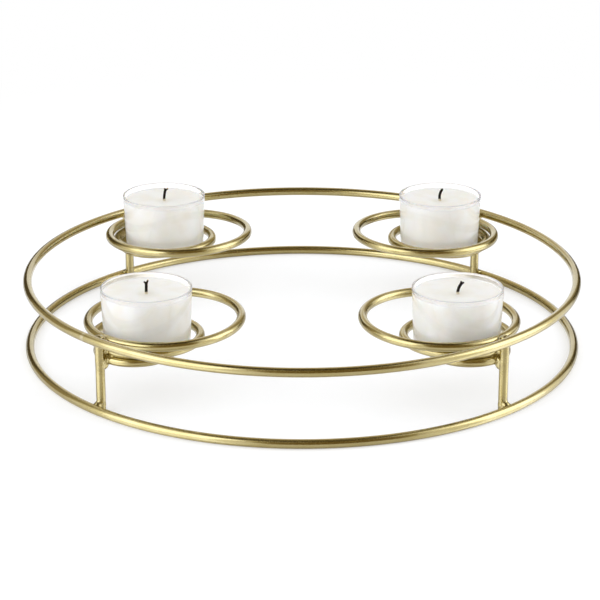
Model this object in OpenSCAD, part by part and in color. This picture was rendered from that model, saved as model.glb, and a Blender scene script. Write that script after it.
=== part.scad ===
// Advent candle holder: two wire hoops joined by four posts, with a ring seat and a tealight at each post.
// Z = 0 is the surface that the holder stands on. The hoops' axis is the Z axis, and -Y is the front.

/* [Frame] */
// Diameter of both hoops, at the middle of the wire
hoop_d = 246; // [200:1:400]
// Height from the middle of the lower hoop to the middle of the upper hoop
hoop_spacing = 31; // [20:0.5:120]
// Diameter of the wire of every hoop, post and ring
wire_d = 4; // [3:0.1:5]
// Length of post past the middle of each hoop
post_overrun = 1; // [0.5:0.1:1.4]

/* [Seats] */
// Diameter of the large loop of each seat, at the middle of the wire
outer_loop_d = 65.4; // [56:0.2:90]
// Diameter of the small ring under each tealight, at the middle of the wire
support_ring_d = 32; // [24:0.5:38]
// Drop at the post from the middle of the upper hoop to the middle of the large loop
loop_drop = 1.6; // [0:0.1:6]
// Angle at which the large loop rises from its post, in degrees
loop_tilt = 1.5; // [0:0.1:6]
// Gap between the rim of a tealight and the inside of the ring round it
cup_ring_clearance = 1.2; // [0.8:0.1:4]

/* [Tealights] */
// Diameter of the cup at its rim
cup_rim_d = 38.8; // [36:0.1:46]
// Distance by which the cup's wall leans in from the rim to the base
cup_taper = 0.9; // [0:0.1:2]
// Height of the cup
cup_h = 24; // [12:0.5:40]
// Thickness of the cup's wall and floor
cup_wall = 0.7; // [0.4:0.1:1.2]
// Radius of the edge round the cup's base
cup_edge_r = 1.4; // [1.3:0.1:3]
// Depth of the wax surface below the cup's rim
wax_recess = 2.8; // [1:0.1:6]

/* [Wicks] */
// Diameter of a wick
wick_d = 1.4; // [1:0.1:2]
// Length of wick that stands above the wax
wick_exposed = 6; // [3:0.1:10]
// Diameter of the metal foot that holds a wick
sustainer_d = 13; // [8:0.5:20]
// Thickness of the metal foot
sustainer_t = 0.3; // [0.2:0.05:0.6]
// Height of the collar on the metal foot
collar_h = 3; // [1:0.5:5]
// Thickness of the collar's wall
collar_wall = 0.4; // [0.2:0.05:0.8]

/* [Welds] */
// Diameter of a bead where a post meets a hoop
hoop_bead_d = 5.2; // [4.6:0.1:6]
// Diameter of a bead where a ring meets a post
seat_bead_d = 6; // [5:0.1:7]

/* [Fits] */
// Depth to which welded wires melt into each other
weld_bite = 0.2; // [0.1:0.05:0.25]
// Gap between stacked rings of one seat
ring_gap = 0.3; // [0.1:0.05:0.5]
// Gap between a tealight's base and the ring that carries it
seat_gap = 0.3; // [0.1:0.1:0.6]

/* [Hidden] */
wire_r = wire_d / 2;
hoop_r = hoop_d / 2;
lower_hoop_z = wire_r;
upper_hoop_z = lower_hoop_z + hoop_spacing;

// The wires cross at the posts, which stand inside the hoops and outside the rings
crossing = wire_d - weld_bite;
post_line_r = hoop_r - crossing;
seat_edge_r = post_line_r - crossing;

// The rings of a seat are stacked from the large loop down
ring_pitch = wire_d + ring_gap;
outer_loop_r = outer_loop_d / 2;
cup_rim_r = cup_rim_d / 2;
cup_ring_r = cup_rim_r + cup_ring_clearance + wire_r;
support_ring_r = support_ring_d / 2;
outer_loop_z = upper_hoop_z - loop_drop;
cup_ring_z = outer_loop_z - ring_pitch;
support_ring_z = cup_ring_z - ring_pitch;

// Heights inside a tealight, from the underside of its cup
tealight_line_r = seat_edge_r - cup_ring_r;
tealight_z = support_ring_z + wire_r + seat_gap;
cup_base_r = cup_rim_r - cup_taper;
inner_edge_r = cup_edge_r - cup_wall;
inner_base_r = cup_base_r - cup_wall;
inner_rim_r = cup_rim_r - cup_wall;
wax_z = cup_h - wax_recess;
wick_r = wick_d / 2;
sustainer_r = sustainer_d / 2;
collar_r = wick_r + collar_wall;
foot_top_z = cup_wall + sustainer_t;
collar_top_z = foot_top_z + collar_h;

// Beads lie in the corners that the crossing wires leave
hoop_bead_r = hoop_bead_d / 2;
hoop_bead_inset_share = 0.8;
hoop_bead_rise_share = 0.9;
hoop_bead_line_r = hoop_r - wire_r * hoop_bead_inset_share;
hoop_bead_rise = wire_r * hoop_bead_rise_share;
seat_bead_line_r = (post_line_r + seat_edge_r) / 2;

// Name, angle round the hoops and bend of the wick, to the right if positive, of each seat
SEATS = [
    ["front_left", 225, -10],
    ["front_right", 315, 48],
    ["back_left", 135, 18],
    ["back_right", 45, 24]
];
SEAT_NODES = [
    "post",
    "outer_loop",
    "cup_ring",
    "support_ring",
    "seat_weld",
    "tealight_cup",
    "wax",
    "wick",
    "wick_sustainer"
];

gold = [0.72, 0.6, 0.34];
clear = [0.9, 0.92, 0.93, 0.4];
ivory = [0.97, 0.95, 0.9];
char_black = [0.12, 0.1, 0.09];
tin = [0.7, 0.71, 0.72];

wire_facets = 32;
ring_facets = 120;
bead_facets = 48;
edge_steps = 4;

// The node's name of one kind of piece at one seat
function node_name(kind, seat) = str(kind, "_", seat[0]);

// Points on a quarter circle from straight down to straight out
function edge_points(centre_x, centre_z, r) = [
    for (i = [0 : edge_steps])
        let (a = 90 * i / edge_steps - 90)
        [centre_x + r * cos(a), centre_z + r * sin(a)]
];

// The rounded inner edge between the cup's floor and its wall
function inner_edge_points() = edge_points(inner_base_r - inner_edge_r, cup_wall + inner_edge_r, inner_edge_r);

// Radius of the cup's inside at a height above its underside
function inner_r(z) =
    let (low_z = cup_wall + inner_edge_r)
    inner_base_r + (inner_rim_r - inner_base_r) * (z - low_z) / (cup_h - low_z);

// A ring of wire round the Z axis
module wire_ring(r) {
    rotate_extrude($fn = ring_facets)
        translate([r, 0])
            circle(r = wire_r, $fn = wire_facets);
}

module hoop(z) {
    translate([0, 0, z]) wire_ring(hoop_r);
}

// Turns a piece made on the X axis to a seat's angle
module at_seat(seat) {
    rotate([0, 0, seat[1]]) children();
}

// A ring of a seat, which leaves the post at a height and may rise from there
module seat_ring(r, z, tilt = 0) {
    translate([seat_edge_r, 0, z])
        rotate([0, tilt, 0])
            translate([-r, 0, 0])
                wire_ring(r);
}

module outer_loop_wire() {
    seat_ring(outer_loop_r, outer_loop_z, loop_tilt);
}

module cup_ring_wire() {
    seat_ring(cup_ring_r, cup_ring_z);
}

module support_ring_wire() {
    seat_ring(support_ring_r, support_ring_z);
}

// Moves a piece made on the Z axis to the underside of a seat's tealight
module at_tealight(seat) {
    translate([tealight_line_r * cos(seat[1]), tealight_line_r * sin(seat[1]), tealight_z]) children();
}

module post_wire() {
    translate([post_line_r, 0, lower_hoop_z - post_overrun])
        cylinder(h = hoop_spacing + 2 * post_overrun, r = wire_r, $fn = wire_facets);
}

// Beads in the corners between the posts and one hoop
module hoop_welds(hoop_z, bead_z) {
    for (seat = SEATS)
        at_seat(seat)
            difference() {
                translate([hoop_bead_line_r, 0, bead_z])
                    sphere(r = hoop_bead_r, $fn = bead_facets);
                hoop(hoop_z);
                post_wire();
            }
}

module lower_hoop() {
    color(gold) hoop(lower_hoop_z);
}

module upper_hoop() {
    color(gold) hoop(upper_hoop_z);
}

module foot_welds() {
    color(gold) hoop_welds(lower_hoop_z, lower_hoop_z + hoop_bead_rise);
}

module head_welds() {
    color(gold) hoop_welds(upper_hoop_z, upper_hoop_z - hoop_bead_rise);
}

module post(seat) {
    color(gold) at_seat(seat) post_wire();
}

module outer_loop(seat) {
    color(gold) at_seat(seat) outer_loop_wire();
}

module cup_ring(seat) {
    color(gold) at_seat(seat) cup_ring_wire();
}

module support_ring(seat) {
    color(gold) at_seat(seat) support_ring_wire();
}

// One bead at each ring, run together along the post
module seat_weld(seat) {
    color(gold)
        at_seat(seat)
            difference() {
                for (z = [outer_loop_z, cup_ring_z, support_ring_z])
                    translate([seat_bead_line_r, 0, z])
                        sphere(d = seat_bead_d, $fn = bead_facets);
                post_wire();
                outer_loop_wire();
                cup_ring_wire();
                support_ring_wire();
            }
}

// A thin clear cup that widens towards its rim
module tealight_cup(seat) {
    outside = concat(
        [[0, 0]],
        edge_points(cup_base_r - cup_edge_r, cup_edge_r, cup_edge_r),
        [[cup_rim_r, cup_h], [inner_rim_r, cup_h]]
    );
    inside = inner_edge_points();
    color(clear)
        at_tealight(seat)
            rotate_extrude($fn = ring_facets)
                polygon(concat(outside, [for (i = [edge_steps : -1 : 0]) inside[i]], [[0, cup_wall]]));
}

// The fill, shaped by the cup round it and by the wick and its foot inside it
module wax(seat) {
    core = [
        [wick_r, wax_z],
        [wick_r, collar_top_z],
        [collar_r, collar_top_z],
        [collar_r, foot_top_z],
        [sustainer_r, foot_top_z],
        [sustainer_r, cup_wall]
    ];
    color(ivory)
        at_tealight(seat)
            rotate_extrude($fn = ring_facets)
                polygon(concat(core, inner_edge_points(), [[inner_r(wax_z), wax_z]]));
}

// Straight in the wax, and bent to one side above it
module wick(seat) {
    bend = seat[2];
    bend_r = wick_exposed / (abs(bend) * PI / 180);
    color(char_black)
        at_tealight(seat) {
            translate([0, 0, cup_wall])
                cylinder(h = wax_z - cup_wall, r = wick_r, $fn = wire_facets);
            rotate([0, 0, bend > 0 ? 180 : 0])
                translate([-bend_r, 0, wax_z])
                    rotate([90, 0, 0])
                        rotate_extrude(angle = abs(bend), $fn = ring_facets)
                            translate([bend_r, 0])
                                circle(r = wick_r, $fn = wire_facets);
        }
}

// A thin disc with a collar that grips the wick
module wick_sustainer(seat) {
    color(tin)
        at_tealight(seat)
            rotate_extrude($fn = ring_facets)
                polygon([
                    [wick_r, cup_wall],
                    [sustainer_r, cup_wall],
                    [sustainer_r, foot_top_z],
                    [collar_r, foot_top_z],
                    [collar_r, collar_top_z],
                    [wick_r, collar_top_z]
                ]);
}

lower_hoop();
upper_hoop();
foot_welds();
head_welds();
for (seat = SEATS) {
    post(seat);
    outer_loop(seat);
    cup_ring(seat);
    support_ring(seat);
    seat_weld(seat);
    tealight_cup(seat);
    wax(seat);
    wick(seat);
    wick_sustainer(seat);
}
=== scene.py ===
"""The looks of an advent candle holder: satin gold wire, fused welds and four clear tealights.

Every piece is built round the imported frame, in metres, and takes its size and place from it.
"""

from __future__ import annotations

import logging
import math
import sys
from collections.abc import Callable, Mapping, Sequence
from dataclasses import dataclass
from enum import Enum
from typing import Any

import bmesh
import bpy
from mathutils import Matrix, Vector, noise

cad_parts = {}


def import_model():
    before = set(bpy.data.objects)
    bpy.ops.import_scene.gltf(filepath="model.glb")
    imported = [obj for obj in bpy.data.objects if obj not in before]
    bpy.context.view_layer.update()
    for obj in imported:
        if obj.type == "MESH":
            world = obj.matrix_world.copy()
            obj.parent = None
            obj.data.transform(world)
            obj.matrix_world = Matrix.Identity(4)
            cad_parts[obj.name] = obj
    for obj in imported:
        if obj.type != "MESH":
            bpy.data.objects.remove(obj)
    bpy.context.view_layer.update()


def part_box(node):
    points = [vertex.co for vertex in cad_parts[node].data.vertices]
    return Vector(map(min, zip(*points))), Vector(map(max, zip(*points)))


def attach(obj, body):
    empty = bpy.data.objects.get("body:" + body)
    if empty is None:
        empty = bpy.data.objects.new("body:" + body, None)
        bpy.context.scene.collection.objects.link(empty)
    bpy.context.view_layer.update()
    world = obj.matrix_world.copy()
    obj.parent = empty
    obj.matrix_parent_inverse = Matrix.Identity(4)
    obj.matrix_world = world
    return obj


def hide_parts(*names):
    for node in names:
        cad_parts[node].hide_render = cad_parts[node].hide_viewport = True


LOG = logging.getLogger("candle_holder")
MM = 0.001
FULL_TURN = 2 * math.pi
MERGE_GAP = 0.001 * MM
SEED_SCALE = 900
ALONG = "along"
Colour = tuple[float, float, float]
Point = tuple[float, float]
Triple = tuple[float, float, float]
Mesh = bmesh.types.BMesh
Socket = bpy.types.NodeSocket
WHITE: Colour = (1.0, 1.0, 1.0)
BLACK: Colour = (0.0, 0.0, 0.0)


class Seat(Enum):
    """The four seats, each with the side of the X and Y axes that it lies on."""

    FRONT_LEFT = (-1, -1)
    FRONT_RIGHT = (1, -1)
    BACK_LEFT = (-1, 1)
    BACK_RIGHT = (1, 1)

    @property
    def label(self) -> str:
        """The seat's name, as the nodes and bodies end in it."""
        return self.name.lower()

    @property
    def angle(self) -> float:
        """The angle of the seat's post round the hoops' axis, in radians."""
        return math.atan2(self.value[1], self.value[0])

    @property
    def body(self) -> str:
        """The body of the seat's tealight."""
        return f"tealight_{self.label}"


class Slot(Enum):
    """The record's material slots."""

    GOLD = "gold_wire"
    CUP = "clear_cup"
    WAX = "wax"
    WICK = "wick"
    SUSTAINER = "sustainer"


class RingKind(Enum):
    """The rings of a seat, from the highest to the lowest."""

    OUTER_LOOP = "outer_loop"
    CUP_RING = "cup_ring"
    SUPPORT_RING = "support_ring"


class Graph:
    """Adds nodes to one node tree and joins them."""

    def __init__(self, tree: bpy.types.NodeTree) -> None:
        """Takes the tree that the nodes go into."""
        self.tree = tree

    def add(self, kind: str, inputs: Mapping[Any, Any] | None = None, **settings: Any) -> bpy.types.Node:
        """Adds a node.

        Args:
            kind: Blender's name for the node's type.
            inputs: Socket names or numbers, each with a constant or the socket to read.
            settings: Properties of the node itself.

        Returns:
            The new node.
        """
        node = self.tree.nodes.new(kind)
        for name, value in settings.items():
            setattr(node, name, value)
        for key, value in (inputs or {}).items():
            self.feed(node.inputs[key], value)
        return node

    def feed(self, socket: Socket, value: Any) -> None:
        """Joins a socket to another, or gives it a constant.

        Args:
            socket: The input socket.
            value: An output socket or a constant. A colour comes without its alpha.
        """
        if isinstance(value, bpy.types.NodeSocket):
            self.tree.links.new(value, socket)
        elif socket.type == "RGBA":
            socket.default_value = (*value, 1.0)
        else:
            socket.default_value = value

    def math(self, operation: str, first: Any, second: Any = 0.0, third: Any = 0.0) -> Socket:
        """Adds a Math node and returns its value."""
        return self.add("ShaderNodeMath", {0: first, 1: second, 2: third}, operation=operation).outputs[0]

    def times(self, first: Any, second: Any) -> Socket:
        """Multiplies two numbers and returns the product."""
        return self.math("MULTIPLY", first, second)

    def plus(self, value: Any, share: Any, base: Any) -> Socket:
        """Adds a share of one number to another and returns the sum."""
        return self.math("MULTIPLY_ADD", value, share, base)

    def blend(self, factor: Any, first: Any, second: Any) -> Socket:
        """Mixes two numbers and returns the result."""
        return self.add("ShaderNodeMix", {0: factor, 2: first, 3: second}, data_type="FLOAT").outputs[0]

    def tint(self, factor: Any, first: Any, second: Any) -> Socket:
        """Mixes two colours and returns the result."""
        return self.add("ShaderNodeMix", {0: factor, 6: first, 7: second}, data_type="RGBA").outputs[2]

    def spread(self, value: Any, low: Any, high: Any, to: Point = (0.0, 1.0)) -> Socket:
        """Maps a number smoothly from one range to another and returns it."""
        sockets = {"Value": value, "From Min": low, "From Max": high, "To Min": to[0], "To Max": to[1]}
        return self.add("ShaderNodeMapRange", sockets, interpolation_type="SMOOTHSTEP").outputs[0]

    def grain(self, vector: Any, scale: Any, detail: float = 2.0, roughness: float = 0.5) -> Socket:
        """Adds a Noise texture and returns its value."""
        sockets = {"Vector": vector, "Scale": scale, "Detail": detail, "Roughness": roughness}
        return self.add("ShaderNodeTexNoise", sockets).outputs[0]

    def stretch(self, vector: Any, scale: Any) -> Socket:
        """Scales a vector along its axes and returns it."""
        return self.add("ShaderNodeVectorMath", {0: vector, 1: scale}, operation="MULTIPLY").outputs[0]

    def parts(self, vector: Any) -> Any:
        """Splits a vector and returns its three parts."""
        return self.add("ShaderNodeSeparateXYZ", {0: vector}).outputs

    def bump(self, height: Any, strength: float, distance: float) -> Socket:
        """Turns a height into a normal and returns it."""
        sockets = {"Strength": strength, "Distance": distance, "Height": height}
        return self.add("ShaderNodeBump", sockets).outputs[0]

    def effect(self, effect: Effect, **inputs: Any) -> Socket:
        """Places a shared effect with its inputs and returns its mask or height."""
        return self.add("ShaderNodeGroup", inputs, node_tree=effect.tree()).outputs[0]


class MaterialGraph(Graph):
    """The graph of a new material."""

    def __init__(self, name: str) -> None:
        """Starts a material with no nodes.

        Args:
            name: The material's name.
        """
        self.material = bpy.data.materials.new(name)
        self.material.use_nodes = True
        super().__init__(self.material.node_tree)
        self.tree.nodes.clear()

    def place(self) -> Socket:
        """The shaded spot's place in the frame."""
        return self.add("ShaderNodeTexCoord").outputs["Object"]

    def along(self) -> Socket:
        """The shaded spot's place along and round a strand."""
        return self.add("ShaderNodeUVMap", uv_map=ALONG).outputs[0]

    def glow(self, colour: Colour, strength: Any = 1.0) -> Socket:
        """Adds an Emission shader and returns it."""
        return self.add("ShaderNodeEmission", {"Color": colour, "Strength": strength}).outputs[0]

    def both(self, first: Socket, second: Socket) -> Socket:
        """Adds one shader to another and returns the result."""
        return self.add("ShaderNodeAddShader", {0: first, 1: second}).outputs[0]

    def mixed(self, factor: Any, first: Socket, second: Socket) -> Socket:
        """Mixes two shaders and returns the result."""
        return self.add("ShaderNodeMixShader", {0: factor, 1: first, 2: second}).outputs[0]

    def surface(self, shader: Socket) -> bpy.types.Material:
        """Ends the material with a shader and returns it."""
        self.add("ShaderNodeOutputMaterial", {"Surface": shader})
        return self.material

    def principled(self, inputs: Mapping[str, Any]) -> bpy.types.Material:
        """Ends the material with a Principled shader and returns it."""
        return self.surface(self.add("ShaderNodeBsdfPrincipled", inputs).outputs[0])


@dataclass(frozen=True)
class Effect:
    """A shared node group that reads a vector and some numbers, and puts out one mask or height."""

    name: str
    numbers: Mapping[str, float]
    fill: Callable[[Graph, Any], Socket]

    def tree(self) -> bpy.types.NodeTree:
        """Builds the group the first time it is asked for.

        Returns:
            The group's node tree.
        """
        if self.name in bpy.data.node_groups:
            return bpy.data.node_groups[self.name]
        tree = bpy.data.node_groups.new(self.name, "ShaderNodeTree")
        tree.interface.new_socket("vector", in_out="INPUT", socket_type="NodeSocketVector")
        for name, default in self.numbers.items():
            number = tree.interface.new_socket(name, in_out="INPUT", socket_type="NodeSocketFloat")
            number.default_value = default
        tree.interface.new_socket("mask", in_out="OUTPUT", socket_type="NodeSocketFloat")
        graph = Graph(tree)
        value = self.fill(graph, graph.add("NodeGroupInput").outputs)
        graph.add("NodeGroupOutput", {"mask": value})
        return tree


def fill_drawn_lines(graph: Graph, given: Any) -> Socket:
    """Fine lines along a wire, as drawing and brushing leave them."""
    scale = graph.add("ShaderNodeCombineXYZ", {0: given["along"], 1: given["across"], 2: 1.0}).outputs[0]
    return graph.spread(graph.grain(graph.stretch(given["vector"], scale), 1.0, 3.0, 0.6), 0.3, 0.7)


def fill_mottle(graph: Graph, given: Any) -> Socket:
    """Soft patches, with a finer breakup at their edges."""
    return graph.spread(graph.grain(given["vector"], given["scale"], 4.0, 0.55), 0.36, 0.64)


def fill_peel(graph: Graph, given: Any) -> Socket:
    """The fine unevenness of a sprayed or moulded surface, with a few specks.

    Args:
        graph: The group's graph.
        given: The group's inputs.

    Returns:
        The height.
    """
    waves = graph.grain(given["vector"], given["scale"])
    cells = graph.add("ShaderNodeTexVoronoi", {"Vector": given["vector"], "Scale": given["scale"]})
    specks = graph.spread(cells.outputs["Distance"], 0.12, 0.02)
    return graph.plus(specks, given["specks"], waves)


def fill_near_line(graph: Graph, given: Any) -> Socket:
    """One on an upright line of each seat and none past the reach. All four quarters are alike.

    Args:
        graph: The group's graph.
        given: The group's inputs.

    Returns:
        The mask.
    """
    folded = graph.add("ShaderNodeVectorMath", {0: given["vector"]}, operation="ABSOLUTE").outputs[0]
    parts = graph.parts(folded)
    across = graph.math("SUBTRACT", parts[0], given["line"])
    deep = graph.math("SUBTRACT", parts[1], given["line"])
    length = graph.math("SQRT", graph.plus(across, across, graph.times(deep, deep)))
    return graph.spread(graph.math("DIVIDE", length, given["reach"]), 1.0, 0.0)


def fill_dust(graph: Graph, given: Any) -> Socket:
    """Thin dust that settles on what faces up.

    Args:
        graph: The group's graph.
        given: The group's inputs.

    Returns:
        The mask.
    """
    upward = graph.spread(graph.parts(graph.add("ShaderNodeNewGeometry").outputs["Normal"])[2], 0.5, 1.0)
    flecks = graph.spread(graph.grain(given["vector"], given["scale"], 5.0, 0.7), 0.45, 0.75)
    return graph.times(graph.times(upward, flecks), given["amount"])


DRAWN_LINES = Effect("drawn_lines", {"along": 60.0, "across": 4000.0}, fill_drawn_lines)
MOTTLE = Effect("mottle", {"scale": 90.0}, fill_mottle)
PEEL = Effect("peel", {"scale": 1500.0, "specks": 0.3}, fill_peel)
NEAR_LINE = Effect("near_line", {"line": 0.08, "reach": 0.01}, fill_near_line)
DUST = Effect("settled_dust", {"scale": 700.0, "amount": 0.2}, fill_dust)


@dataclass(frozen=True)
class GoldLacquer:
    """Satin gold lacquer on drawn wire, duller at the welds. Painted shade darkens the welds' corners, and a
    painted highlight lightens each ring's seam.
    """

    post_line: float
    bright: Colour = (0.535, 0.44, 0.175)
    deep: Colour = (0.46, 0.365, 0.105)
    # Darker colour shared by the drawn lines and by the painted shade in the welds' corners.
    pooled: Colour = (0.36, 0.275, 0.08)
    # Lighter colour painted at each ring's seam as a painted highlight.
    ground: Colour = (0.8, 0.73, 0.55)
    dust: Colour = (0.6, 0.55, 0.45)
    deep_share: float = 0.6
    line_share: float = 0.08
    pooled_share: float = 0.5
    ground_share: float = 0.45
    roughness: float = 0.2
    wear_roughness: float = 0.04
    pool_roughness: float = 0.06
    coat_weights: Point = (0.85, 1.0)
    coat_roughness: float = 0.1
    coat_refraction: float = 1.85
    line_height: float = 0.2
    seam_height: float = 1.5
    relief: float = 0.06
    relief_depth: float = 0.04 * MM
    pool_reach: float = 5.5 * MM
    clear_from: float = 6 * MM
    clear_to: float = 17 * MM
    fade: float = 3 * MM
    seam_half: float = 1.3 * MM

    def build(self) -> bpy.types.Material:
        """Makes the material.

        Returns:
            The gold material of every wire and weld.
        """
        graph = MaterialGraph("satin_gold")
        place = graph.place()
        along = graph.along()
        lines = graph.effect(DRAWN_LINES, vector=along)
        patches = graph.effect(MOTTLE, vector=place, scale=75.0)
        pool = self._pool(graph, place)
        seam = self._seam(graph, along)
        worn = graph.tint(graph.times(patches, self.deep_share), self.bright, self.deep)
        streaked = graph.tint(graph.times(lines, self.line_share), worn, self.pooled)
        # Painted shade: the welds' corners are darkened where shade falls between the post and the wires.
        pooled = graph.tint(graph.times(pool, self.pooled_share), streaked, self.pooled)
        # Painted highlight: the seam is painted lighter as a glint on the weld; its relief below is real.
        ground = graph.tint(graph.times(seam, self.ground_share), pooled, self.ground)
        dust = graph.effect(DUST, vector=place, amount=0.06)
        streaky = graph.plus(lines, self.wear_roughness, self.roughness)
        uneven = graph.plus(patches, self.wear_roughness, streaky)
        peel = graph.effect(PEEL, vector=place, scale=1300.0, specks=0.15)
        textured = graph.plus(lines, self.line_height, peel)
        height = graph.plus(seam, self.seam_height, textured)
        return graph.principled(
            {
                "Metallic": 1.0,
                "Base Color": graph.tint(dust, ground, self.dust),
                "Roughness": graph.plus(pool, self.pool_roughness, uneven),
                "Coat Weight": graph.spread(pool, 0.0, 1.0, self.coat_weights),
                "Coat Roughness": self.coat_roughness,
                "Coat IOR": self.coat_refraction,
                "Normal": graph.bump(height, self.relief, self.relief_depth),
            }
        )

    def _pool(self, graph: Graph, place: Socket) -> Socket:
        """Finds the welds: near a post, and not on the clear stretch of it.

        Args:
            graph: The material's graph.
            place: The place in the frame.

        Returns:
            The mask of the painted shade in the welds' corners, with a ragged edge.
        """
        near = graph.effect(NEAR_LINE, vector=place, line=self.post_line, reach=self.pool_reach)
        height = graph.parts(place)[2]
        below = graph.spread(height, self.clear_from + self.fade, self.clear_from)
        above = graph.spread(height, self.clear_to, self.clear_to + self.fade)
        ragged = graph.effect(MOTTLE, vector=place, scale=300.0)
        at_weld = graph.times(near, graph.math("MAXIMUM", below, above))
        return graph.times(at_weld, graph.plus(ragged, 0.5, 0.5))

    def _seam(self, graph: Graph, along: Socket) -> Socket:
        """Finds the butt weld of a ring, which lies where its length starts and was made flush by grinding.
        """
        distance = graph.math("ABSOLUTE", graph.parts(along)[0])
        return graph.spread(distance, self.seam_half, 0.5 * self.seam_half)


@dataclass(frozen=True)
class ClearCup:
    """Clear moulded plastic with faint flow marks, duller above the wax and at its rim, where it is tinted
    grey as painted shade.
    """

    wax_top: float
    rim_top: float
    clear: Colour = (0.975, 0.975, 0.98)
    # Grey painted on the wall above the wax and on the rim, as painted shade.
    painted_grey: Colour = (0.84, 0.825, 0.85)
    refraction: float = 1.49
    roughness: float = 0.012
    rubbed_roughness: float = 0.03
    wax_line_fade: float = 0.5 * MM
    band_shade_share: float = 0.35
    above_wax_roughness: float = 0.1
    rim_roughness: float = 0.22
    rim_depth: float = 0.6 * MM
    flow_scale: Triple = (260.0, 260.0, 40.0)
    flow_height: float = 2.0
    relief: float = 0.05
    relief_depth: float = 0.05 * MM

    def build(self) -> bpy.types.Material:
        """Makes the material.

        Returns:
            The material of the cups.
        """
        graph = MaterialGraph("clear_plastic")
        place = graph.place()
        height = graph.parts(place)[2]
        above = graph.spread(height, self.wax_top, self.wax_top + self.wax_line_fade)
        rim = graph.spread(height, self.rim_top - self.rim_depth, self.rim_top - self.rim_depth / 2)
        painted_shade = graph.math("MAXIMUM", graph.times(above, self.band_shade_share), rim)
        rubbed = graph.effect(MOTTLE, vector=place, scale=160.0)
        worn = graph.plus(rubbed, self.rubbed_roughness, self.roughness)
        rough_above_wax = graph.plus(above, self.above_wax_roughness, worn)
        flow = graph.grain(graph.stretch(place, self.flow_scale), 1.0, detail=1.0)
        peel = graph.effect(PEEL, vector=place, scale=900.0, specks=0.1)
        textured = graph.plus(flow, self.flow_height, peel)
        return graph.principled(
            {
                "Metallic": 0.0,
                "Transmission Weight": 1.0,
                "IOR": self.refraction,
                # Painted shade: the wall above the wax and the rim are tinted grey.
                "Base Color": graph.tint(painted_shade, self.clear, self.painted_grey),
                "Roughness": graph.plus(rim, self.rim_roughness, rough_above_wax),
                "Normal": graph.bump(textured, self.relief, self.relief_depth),
            }
        )


@dataclass(frozen=True)
class Paraffin:
    """Ivory wax, cloudy, a little creamier towards its foot, with a smoother melted hollow round the wick
    that is tinted warmer as a painted glow of the flame.
    """

    tealight_line: float
    foot_z: float
    milk: Colour = (0.915, 0.895, 0.84)
    cream: Colour = (0.87, 0.825, 0.72)
    foot_cream: Colour = (0.92, 0.88, 0.78)
    pool: Colour = (0.87, 0.8, 0.64)
    # Warmer colour painted round the wick as a painted glow of the flame.
    cream_share: float = 0.6
    foot_cream_share: float = 0.6
    pool_share: float = 0.5
    pool_reach: float = 6 * MM
    foot_cream_reach: float = 16 * MM
    refraction: float = 1.43
    depth_share: float = 0.45
    depth_colour: Colour = (1.0, 0.8, 0.55)
    depth: float = 4 * MM
    roughness: float = 0.48
    cloud_roughness: float = 0.12
    pool_roughness: float = -0.2
    coat_weights: Point = (0.05, 0.35)
    coat_roughness: float = 0.25
    cloud_height: float = 3.0
    relief: float = 0.22
    relief_depth: float = 0.12 * MM

    def build(self) -> bpy.types.Material:
        """Makes the material.

        Returns:
            The material of the wax.
        """
        graph = MaterialGraph("ivory_wax")
        place = graph.place()
        clouds = graph.effect(MOTTLE, vector=place, scale=110.0)
        pool = graph.effect(NEAR_LINE, vector=place, line=self.tealight_line, reach=self.pool_reach)
        base = graph.tint(graph.times(clouds, self.cream_share), self.milk, self.cream)
        # The wax is tinted creamier towards its foot.
        low = graph.spread(graph.parts(place)[2], self.foot_z + self.foot_cream_reach, self.foot_z)
        body = graph.tint(graph.times(low, self.foot_cream_share), base, self.foot_cream)
        dull = graph.plus(clouds, self.cloud_roughness, self.roughness)
        grains = graph.effect(PEEL, vector=place, scale=650.0, specks=0.6)
        height = graph.plus(graph.grain(place, 130.0, detail=3.0), self.cloud_height, grains)
        return graph.principled(
            {
                "Metallic": 0.0,
                "IOR": self.refraction,
                "Subsurface Weight": self.depth_share,
                "Subsurface Radius": self.depth_colour,
                "Subsurface Scale": self.depth,
                # Painted glow: the wax round the wick is tinted warmer for the flame's light; the smoother
                # melt there is real.
                "Base Color": graph.tint(graph.times(pool, self.pool_share), body, self.pool),
                "Roughness": graph.plus(pool, self.pool_roughness, dull),
                "Coat Weight": graph.spread(pool, 0.0, 1.0, self.coat_weights),
                "Coat Roughness": self.coat_roughness,
                "Normal": graph.bump(height, self.relief, self.relief_depth),
            }
        )


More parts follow.
